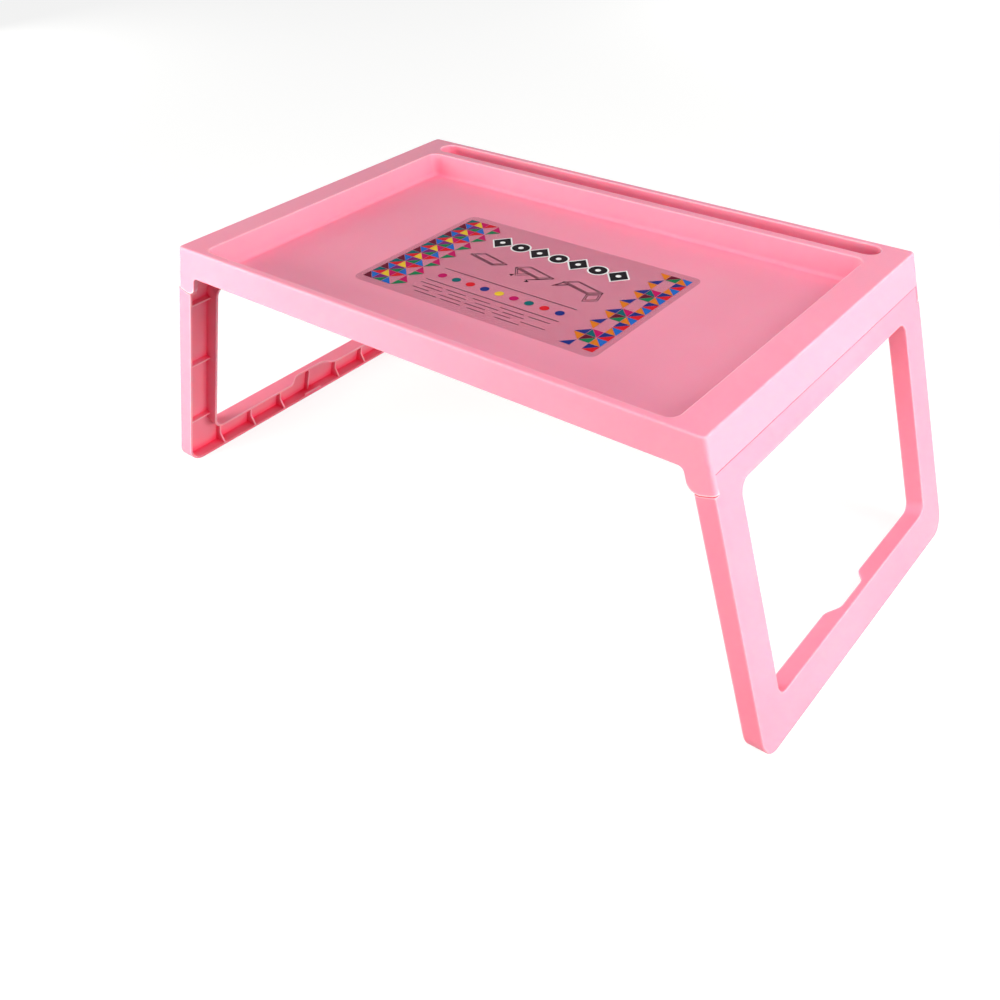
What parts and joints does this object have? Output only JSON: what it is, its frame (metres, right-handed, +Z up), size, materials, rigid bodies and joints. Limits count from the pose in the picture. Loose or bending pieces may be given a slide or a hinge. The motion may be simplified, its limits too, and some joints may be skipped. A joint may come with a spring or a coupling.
{
  "type": "folding lap desk",
  "caption": "Folding lap desk: a shallow moulded tray with a device slot along the back and splayed window-frame legs that fold flat beneath it.",
  "frame": {"origin": "plan centre of the desk, on the floor, with both legs open", "axes": "+X along the long side towards the right leg, +Y towards the back edge with the device slot, +Z up"},
  "size_m": [0.6944, 0.3588, 0.262],
  "materials": {
    "tray_plastic": "satin pink polypropylene, slightly translucent",
    "leg_plastic": "satin pink polypropylene, slightly translucent",
    "pin_plastic": "pink plastic",
    "film": "clear self-adhesive film"
  },
  "bodies": {
    "tray": {"tray_top": "tray_plastic", "label_film": "film"},
    "leg_right": {"leg_frame_right": "leg_plastic", "hinge_pin_back_right": "pin_plastic", "hinge_pin_front_right": "pin_plastic"},
    "leg_left": {"leg_frame_left": "leg_plastic", "hinge_pin_front_left": "pin_plastic", "hinge_pin_back_left": "pin_plastic"}
  },
  "joints": [
    {"name": "leg_right_hinge", "type": "hinge", "parent": "tray", "child": "leg_right", "pos_m": [0.26585, 0, 0.2278], "axis": [0, 1, 0], "range_deg": [0, 106.8]},
    {"name": "leg_left_hinge", "type": "hinge", "parent": "tray", "child": "leg_left", "pos_m": [-0.26585, 0, 0.2278], "axis": [0, -1, 0], "range_deg": [0, 106.8]}
  ]
}
